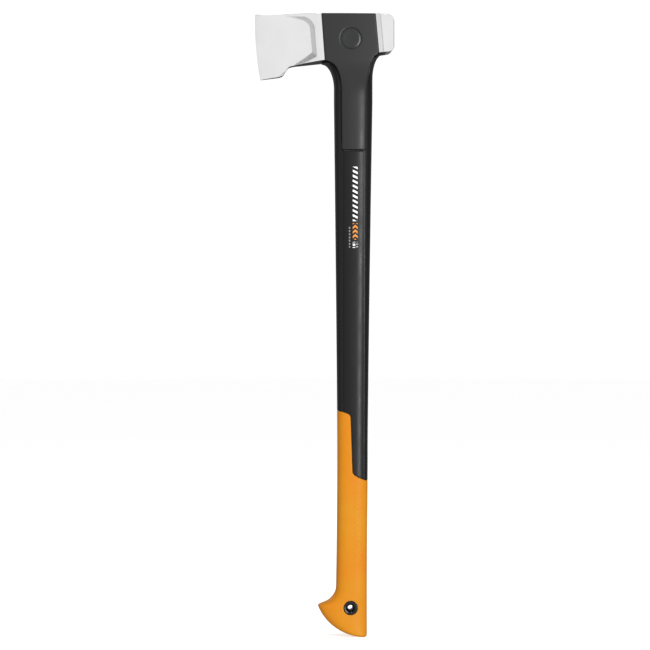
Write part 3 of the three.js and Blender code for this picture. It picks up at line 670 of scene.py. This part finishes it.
def makeStrap():
    low, turn = strap["tongueEnd"], topZ - strap["topRound"]
    heights = [low + strap["edgeRound"] * s for s in roundSteps] + [low + d for d in (1.4, 2, 2.6)]
    heights += spread(low + 5, strap["tongueStart"], 24) + spread(strap["tongueStart"] + 1, turn, 78)
    path = [("cap", low)] + [("leg", z) for z in heights]
    path += [("turn", math.radians(a)) for a in (15, 30, 45, 60, 75, 90)]
    path += [("top", y) for y in spread(strapHalf - strap["topRound"] - 2, 0, 8)]
    across = [("front", s) for s in roundSteps[:-1]] + [("between", t) for t in spread(0, 1, 52)]
    across += [("back", s) for s in roundSteps[-2::-1]] + [("inside", t) for t in spread(0, 1, 12)]
    across += [("front", 0)]

    def place(column, row):
        side, share = across[column]
        stage, value = path[row]
        turned = turn + strap["topRound"] * math.sin(value)
        z = {"cap": low, "leg": value, "turn": turned, "top": topZ}[stage]
        front, back = -flankAt(z, 0), flankAt(z, 1)
        radius = strap["edgeRound"]
        inner = min(strap["legInside"], value) if stage == "top" else strap["legInside"]
        x = {"front": front + share * radius, "back": back - share * radius,
             "between": lerp(front + radius, back - radius, share), "inside": lerp(back, front, share)}[side]
        if side == "inside" or stage == "cap":
            return x, inner, min(z, topZ - strap["bridge"])
        drop = roundDrop(min(x - front, back - x), radius)
        if stage == "leg":
            if z < low + radius:
                drop = max(drop, roundDrop(z - low, radius))
            return x, strapHalfAt(x, z) - drop, z
        if stage == "turn":
            bend = strap["topRound"] - drop
            edge = strapHalf - crownAt(x) - strap["topRound"]
            return x, edge + bend * math.cos(value), turn + bend * math.sin(value)
        return x, value, topZ - drop

    bm = wrapGrid(len(across) - 1, len(path) - 1, place)
    # the lock plug's seat: a chamfered round pocket with the shank's hole at its bottom
    x, z = lockPlug["x"], lockPlug["z"]
    mouth = lockPlug["headRadius"] + lockPlug["clearance"]
    shank = lockPlug["shankRadius"] + lockPlug["clearance"]
    floor = strapHalf - lockPlug["headDepth"] - lockPlug["clearance"]
    lip, drop = mouth + lockPlug["seatBevel"], lockPlug["bevelDrop"]

    def outside(co, radius):
        return co.y > (strapHalf + strap["legInside"]) / 2 and math.hypot(co.x - x, co.z - z) < radius

    def inside(co, radius):
        return abs(co.y - strap["legInside"]) < 0.5 and math.hypot(co.x - x, co.z - z) < radius

    scoreLine(bm, circle(x, z, lip), lambda co: outside(co, lip * 1.5))
    dropFaces(bm, lambda co: outside(co, lip))
    scoreLine(bm, circle(x, z, shank), lambda co: inside(co, lip * 1.5))
    dropFaces(bm, lambda co: inside(co, shank))

    def ringTo(radius, y):
        def move(co):
            scale = radius / math.hypot(co.x - x, co.z - z)
            return Vector((x + (co.x - x) * scale, y, z + (co.z - z) * scale))
        return move

    seat = openEdges(bm, lambda co: outside(co, lip * 1.5))
    rings = [(mouth + lockPlug["edgeRound"] * (1 - math.sin(a)),
              strapHalf - drop - lockPlug["edgeRound"] * (1 - math.cos(a))) for a in quarter]
    for radius, y in rings + [(mouth, floor), (shank, floor)]:
        seat = extendEdges(bm, seat, ringTo(radius, y))
    inner = openEdges(bm, lambda co: inside(co, lip * 1.5))
    bmesh.ops.bridge_loops(bm, edges=seat + inner)
    mirrorHalf(bm)
    return finishPiece(bm, "strapMoulding", strapNylon, "strap_composite", "head_strap", crease=34)


makeStrap()


def makeLockPlug(name, side, node):
    face, edge = strapHalf - lockPlug["sunk"], lockPlug["edgeRound"]
    low, seat = face - lockPlug["bevelDrop"], strapHalf - lockPlug["headDepth"]
    radius, shank, gap = lockPlug["headRadius"], lockPlug["shankRadius"], lockPlug["middleGap"]
    chamfer, chamferLength = lockPlug["endChamfer"]
    profile = [(r, face - dip) for r, dip in lockPlug["dish"]] + [(radius - edge - lockPlug["bevel"], face)]
    profile += [(radius - edge * (1 - math.sin(a)), low - edge * (1 - math.cos(a))) for a in quarter]
    profile += [(radius, seat), (shank, seat)]
    profile += [(shank, gap + chamferLength), (shank - chamfer, gap), (0, gap)]
    bm = turnProfile([(r, y * side) for r, y in profile], lockPlug["x"], lockPlug["z"])
    return finishPiece(bm, name, plugNylon, "strap_composite", node, crease=30)


makeLockPlug("lockPlugLeft", 1, "lock_plug_left")
makeLockPlug("lockPlugRight", -1, "lock_plug_right")

grip = {
    "frontTop": 297.6, "backTop": 206.4, "stepX": -2.6, "skin": 2.6, "edgeRound": 1.0, "gap": 0.3,
    "scaleX": 6.5, "scaleHalfX": 6, "scaleLow": 92, "scaleHigh": 200, "scalePitch": 7, "scaleHeight": 0.7,
    "scaleFadeX": 2, "scaleFadeZ": 6, "scaleBow": 3.2, "around": 80,
}


def skinLine(shift):  # the grip's upper edge, which steps down from the front to the back
    step, front, back = grip["stepX"], grip["frontTop"], grip["backTop"]
    corners = [
        ((step - 19, front + 1), (step - 8, front - 1), (step - 3, front - 4)),
        ((step - 3, front - 4), (step - 1, front - 5.5), (step - 0.8, front - 9)),
        ((step + 1.6, back + 12), (step + 2, back + 8.5), (step + 5, back + 6.8)),
        ((step + 5, back + 6.8), (step + 15, back + 0.8), (step + 23, back)),
    ]
    points = [(-80, front + 1)]
    for start, bend, stop in corners:
        for t in spread(0, 1, 5):
            point = tuple((1 - t) ** 2 * a + 2 * t * (1 - t) * b + t * t * c
                          for a, b, c in zip(start, bend, stop))
            if point != points[-1]:
                points.append(point)
    points.append((80, back))
    shifted = []
    for i, (x, z) in enumerate(points):  # the line moved down and towards the front, square to itself
        x0, z0 = points[max(0, i - 1)]
        x1, z1 = points[min(len(points) - 1, i + 1)]
        length = math.hypot(x1 - x0, z1 - z0)
        shifted.append((x + (z1 - z0) / length * shift, z - (x1 - x0) / length * shift))
    return shifted


def lineDistance(points, co):  # nearest distance from a point to a line in side view
    best = 1000
    for (x0, z0), (x1, z1) in zip(points, points[1:]):
        span = (x1 - x0) ** 2 + (z1 - z0) ** 2
        t = clamp(((co.x - x0) * (x1 - x0) + (co.z - z0) * (z1 - z0)) / span)
        best = min(best, math.hypot(co.x - lerp(x0, x1, t), co.z - lerp(z0, z1, t)))
    return best


def trimToLine(bm, side, radius):
    # cuts a handle piece along the skin line, keeps what is below (side 1) or above (side -1)
    # and rounds the new edge
    gap = grip["gap"] if side > 0 else 0
    line = skinLine(gap)
    band = lambda co: grip["backTop"] - 8 < co.z < grip["frontTop"] + 8
    for share in roundSteps:
        scoreLine(bm, skinLine(gap + side * share * radius), band)
    dropFaces(bm, lambda co: side * (co.z - along(line, co.x)) > 0)
    for vert in [v for v in bm.verts if band(v.co)]:
        distance = lineDistance(line, vert.co)
        if distance < radius:
            vert.co -= outwardAt(vert.co) * roundDrop(distance, radius)
    edges = openEdges(bm, band)
    inner = extendEdges(bm, edges, lambda co: co - outwardAt(co) * (grip["skin"] + grip["gap"] - radius))
    bmesh.ops.triangle_fill(bm, edges=inner, use_beauty=True, normal=(0, 0, side))


shaft = {"groove": 0.9, "grooveEdge": 0.5, "lipDrop": 0.35, "top": 0.3, "topRound": 0.9, "edgeRound": 0.4,
         "tuck": 12, "steps": 118}


def makeShaft():
    grow = shaft["groove"]
    tip, start = strap["tongueEnd"] - grow, strap["tongueStart"]
    chamfer = shaft["grooveEdge"]
    corner = strap["corner"] + grow
    rows = [("low", z) for z in spread(grip["backTop"] - shaft["tuck"], tip - 6, shaft["steps"])]
    rows += [("low", tip - 3), ("low", tip - chamfer), ("lip", tip), ("deep", tip)]
    rows += [("deep", tip + corner * s) for s in (0.04, 0.12, 0.25, 0.45, 0.7, 1)]
    rows += [("deep", z) for z in spread(tip + corner + 2, start, 24)]
    rows += [("high", t) for t in crowded(0, 1, 44)[1:]] + [("cap", 1)]
    back = [("outer", t) for t in spread(0, 1, 10)] + [("rim", 0), ("floor", 0)]
    floor = [("floor", t) for t in spread(0, 1, 20)[1:-1]]
    # known fault: the last columns run from the front pole back to the lip, which leaves faces inside the shaft
    columns = back + floor + [("floor", 1), ("rim", 1)] + [("outer", 2 - t) for t in spread(0, 1, 10)]

    def place(column, row):
        part, share = columns[column]
        kind, value = rows[row]
        x, z = 0, value
        # the top slopes, so x and z are settled together
        for _ in range(6 if kind in ("high", "cap") else 1):
            topHere = undersideAt(x) - shaft["top"]
            if kind in ("high", "cap"):
                z = lerp(start, topHere, value)
            reachZ = max(z, tip)
            edges = (flankAt(reachZ, 1, grow), -flankAt(reachZ, 0, grow))
            frontX, backX = -handleSection(z)[0], handleSection(z)[1]
            rims = (min(edges[0] + chamfer, backX), max(edges[1] - chamfer, frontX))
            lips = (min(edges[0], backX), max(edges[1], frontX))
            angles = [ovalAngle(z, rim) for rim in rims]
            if part == "outer":
                angle = lerp(0, angles[0], share) if share <= 1 else lerp(math.pi, angles[1], 2 - share)
            elif part == "rim":
                angle = ovalAngle(z, lips[share])
            else:
                angle = lerp(ovalAngle(z, lips[0]), ovalAngle(z, lips[1]), share)
            x, y = ovalPoint(z, angle)
        if kind == "cap":
            return x, 0, z
        if kind == "high":
            y -= roundDrop(topHere - z, shaft["topRound"])
        if (part == "rim" and kind != "low") or (part == "floor" and kind == "lip"):
            y -= shaft["lipDrop"]
        if part == "floor" and kind in ("deep", "high"):
            y = waistHalf
        return x, max(y, 0), z

    bm = wrapGrid(len(columns) - 1, len(rows) - 1, place)
    mirrorHalf(bm)
    trimToLine(bm, -1, shaft["edgeRound"])
    return finishPiece(bm, "shaftMoulding", shaftNylon, "shaft_composite", "handle_shaft", crease=36)


makeShaft()

eyelet = {"x": -3.6, "z": 39, "throat": 3.5, "rim": 9.3, "tube": 6.2, "flare": 6, "proud": 0.3, "lip": 0.9,
          "clearance": 0.3}


def scaleAt(x, z):  # height of the shallow scales moulded in a column down each side
    pitch = grip["scalePitch"]
    edge = clamp((grip["scaleHalfX"] - abs(x - grip["scaleX"])) / grip["scaleFadeX"])
    edge *= clamp((z - grip["scaleLow"]) / grip["scaleFadeZ"])
    edge *= clamp((grip["scaleHigh"] - z) / grip["scaleFadeZ"])
    row = math.floor(z / (pitch / 2))
    offX = (x - grip["scaleX"]) / pitch + 0.5 * (row % 2)
    offX -= round(offX)
    offZ = z / (pitch / 2) - row
    return grip["scaleHeight"] * edge * (1 - offZ) * max(0, 1 - grip["scaleBow"] * offX ** 2)


def makeGrip():
    hookZ, hollowTop = handle["hookZ"], handle["hookZ"] + handle["hookHollow"]
    rows = [8 * (i / 14) ** 2 for i in range(14)] + spread(8, hookZ - 3.5, 30)[:-1]
    rows += spread(hookZ - 3.5, hookZ + 3, 14)[:-1] + spread(hookZ + 3, hollowTop + 4, 22)[:-1]
    rows += spread(hollowTop + 4, 90, 12)[:-1] + spread(90, grip["backTop"] - 3, 96)[:-1]
    rows += spread(grip["backTop"] - 3, grip["frontTop"] + 6, 44)

    def place(column, row):
        z = rows[max(0, row - 1)]
        x, y = ovalPoint(z, math.pi * column / grip["around"])
        return x, max(y + scaleAt(x, z), 0) if row else 0, z

    bm = wrapGrid(grip["around"], len(rows), place)
    mirrorHalf(bm)
    trimToLine(bm, 1, grip["edgeRound"])
    # the eyelet's hole, right through the butt
    x, z, hole = eyelet["x"], eyelet["z"], eyelet["rim"] + eyelet["clearance"]
    near = lambda co: math.hypot(co.x - x, co.z - z) < hole * 1.6
    scoreLine(bm, circle(x, z, hole), near)
    dropFaces(bm, lambda co: math.hypot(co.x - x, co.z - z) < hole)
    bmesh.ops.bridge_loops(bm, edges=openEdges(bm, near))
    return finishPiece(bm, "gripSkin", gripRubber, "grip_rubber", "grip_skin", crease=40)


makeGrip()


def makeEyelet():
    front, back, half = handleSection(eyelet["z"])
    share = abs(eyelet["x"] - (back - front) / 2) / ((front + back) / 2)
    face = half * (1 - share ** handle["square"]) ** (1 / handle["square"]) + eyelet["proud"]
    lip, rim, throat = eyelet["lip"], eyelet["rim"], eyelet["throat"]
    turns = spread(0, math.pi / 2, 12)
    mouth = [(throat + (rim - lip - throat) * (1 - math.cos(a)), face - eyelet["flare"] * (1 - math.sin(a)))
             for a in turns]
    bead = [(rim - lip + lip * math.sin(a), face - lip + lip * math.cos(a)) for a in turns[1::2]]
    tube, neck, shoulder = eyelet["tube"], rim - lip / 2, face - 3 * lip
    upper = mouth + bead + [(neck, shoulder), (tube, shoulder - (neck - tube))]
    profile = [(r, -y) for r, y in upper[::-1]] + upper
    bm = turnProfile(profile, eyelet["x"], eyelet["z"], closed=True)
    return finishPiece(bm, "hangingEyelet", acetal, "eyelet_plastic", "hang_eyelet", crease=50)


makeEyelet()

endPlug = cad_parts["shaft_end_plug"]  # keeps its solid, hidden in the butt
endPlug.data.materials.clear()
endPlug.data.materials.append(shaftNylon)

white = (1, 1, 1, 1)
stage = {"floorRadius": 17, "floorTone": "#f4f4f4", "floorRoughness": 0.9, "floorGlow": 0.55,
         "domeRadius": 18}


def stagePiece(name, bm, finish, inputs, unseenBy):  # scenery, left out by some kinds of light ray
    mesh = bpy.data.meshes.new(name)
    bm.to_mesh(mesh)
    bm.free()
    material, tree, shader = newMaterial(finish)
    fill(tree, shader, inputs)
    mesh.materials.append(material)
    piece = bpy.data.objects.new(name, mesh)
    bpy.context.scene.collection.objects.link(piece)
    for ray in unseenBy:
        setattr(piece, "visible_" + ray, False)
    return piece


def makeFloor():
    bm = bmesh.new()
    bmesh.ops.create_circle(bm, cap_ends=True, segments=96, radius=stage["floorRadius"])
    inputs = {"Base Color": linear(stage["floorTone"]), "Roughness": stage["floorRoughness"],
              "Specular IOR Level": 0, "Emission Color": white, "Emission Strength": stage["floorGlow"]}
    floor = stagePiece("studioFloor", bm, "paintedFloor", inputs, ("diffuse", "glossy"))


def makeDome():  # a white backdrop all round, which only the camera sees
    bm = bmesh.new()
    bmesh.ops.create_uvsphere(bm, u_segments=48, v_segments=24, radius=stage["domeRadius"])
    bmesh.ops.reverse_faces(bm, faces=bm.faces)
    inputs = {"Base Color": (0, 0, 0, 1), "Emission Color": white, "Emission Strength": 1}
    unseenBy = ("diffuse", "glossy", "transmission", "shadow")
    dome = stagePiece("backdrop", bm, "whiteBackdrop", inputs, unseenBy)


def aimAt(thing, place, target):
    thing.location = place
    thing.rotation_mode = "QUATERNION"
    thing.rotation_quaternion = (Vector(target) - Vector(place)).to_track_quat("-Z", "Y")


def softbox(name, place, target, width, height, power, flagged=()):
    # flagged pieces are kept out of this lamp's light, as with a card on a stand
    light = bpy.data.lights.new(name, "AREA")
    light.shape = "RECTANGLE"
    light.size, light.size_y, light.energy = width, height, power
    lamp = bpy.data.objects.new(name, light)
    bpy.context.scene.collection.objects.link(lamp)
    lamp.visible_camera = False
    aimAt(lamp, place, target)
    if flagged:
        kept = bpy.data.collections.new(name + "Flag")
        lamp.light_linking.receiver_collection = kept
        for piece in flagged:
            kept.objects.link(piece)
        for entry in kept.collection_objects:
            entry.light_linking.link_state = "EXCLUDE"


def makeWorld():
    # a big pale room: [direction, where its share starts, where it is full, strength] added to an even base
    room = {
        "base": 0.37,
        "lobes": [
            ((-0.12, -0.99, -0.05), 0, 0.4, 0.75),  # white wall and table in front
            ((-0.45, -0.3, 0.84), 0.6, 0.95, -0.46),  # darker corner high on the left
            ((0, 0.98, -0.12), 0.85, 0.98, -0.25),  # dark gap low behind the object
        ],
    }
    world = bpy.data.worlds.new("studioRoom")
    world.use_nodes = True
    bpy.context.scene.world = world
    tree = world.node_tree
    way = addNode(tree, "ShaderNodeTexCoord").outputs["Generated"]
    total = room["base"]
    for direction, start, full, strength in room["lobes"]:
        inputs = {0: way, 1: Vector(direction).normalized()}
        facing = addNode(tree, "ShaderNodeVectorMath", inputs, operation="DOT_PRODUCT").outputs["Value"]
        lobe = remap(tree, facing, start, full, 0, strength, interpolation_type="SMOOTHSTEP")
        total = maths(tree, "ADD", total, lobe)
    sky = tree.nodes["Background"]
    sky.inputs["Color"].default_value = white
    tree.links.new(total, sky.inputs["Strength"])


makeFloor()
makeDome()
makeWorld()
centre = Vector((0, 0, topZ * mm / 2))
softbox("keyStrip", (1.35, -2.8, 0.4), centre, 0.32, 1.9, 70, flagged=[headForging])
softbox("topSoftbox", (-0.3, -0.9, 2.7), centre, 0.7, 0.5, 18)
softbox("backSoftbox", (-1.6, 2.6, 1.9), centre, 1.2, 1.2, 16)

cameraSetup = {"distance": 3.5, "height": 0.4112, "aimX": 0.0012, "azimuth": -3, "frameWidth": 0.858,
               "sensor": 36}
cameraData = bpy.data.cameras.new("productCamera")
cameraData.sensor_width = cameraSetup["sensor"]
cameraData.lens = cameraSetup["sensor"] * cameraSetup["distance"] / cameraSetup["frameWidth"]
camera = bpy.data.objects.new("productCamera", cameraData)
bpy.context.scene.collection.objects.link(camera)
turn = math.radians(cameraSetup["azimuth"])
target = Vector((cameraSetup["aimX"], 0, cameraSetup["height"]))
aimAt(camera, target + Vector((math.sin(turn), -math.cos(turn), 0)) * cameraSetup["distance"], target)
bpy.context.scene.camera = camera
bpy.context.scene.view_settings.view_transform = "Standard"
print("stage, lights and camera set")
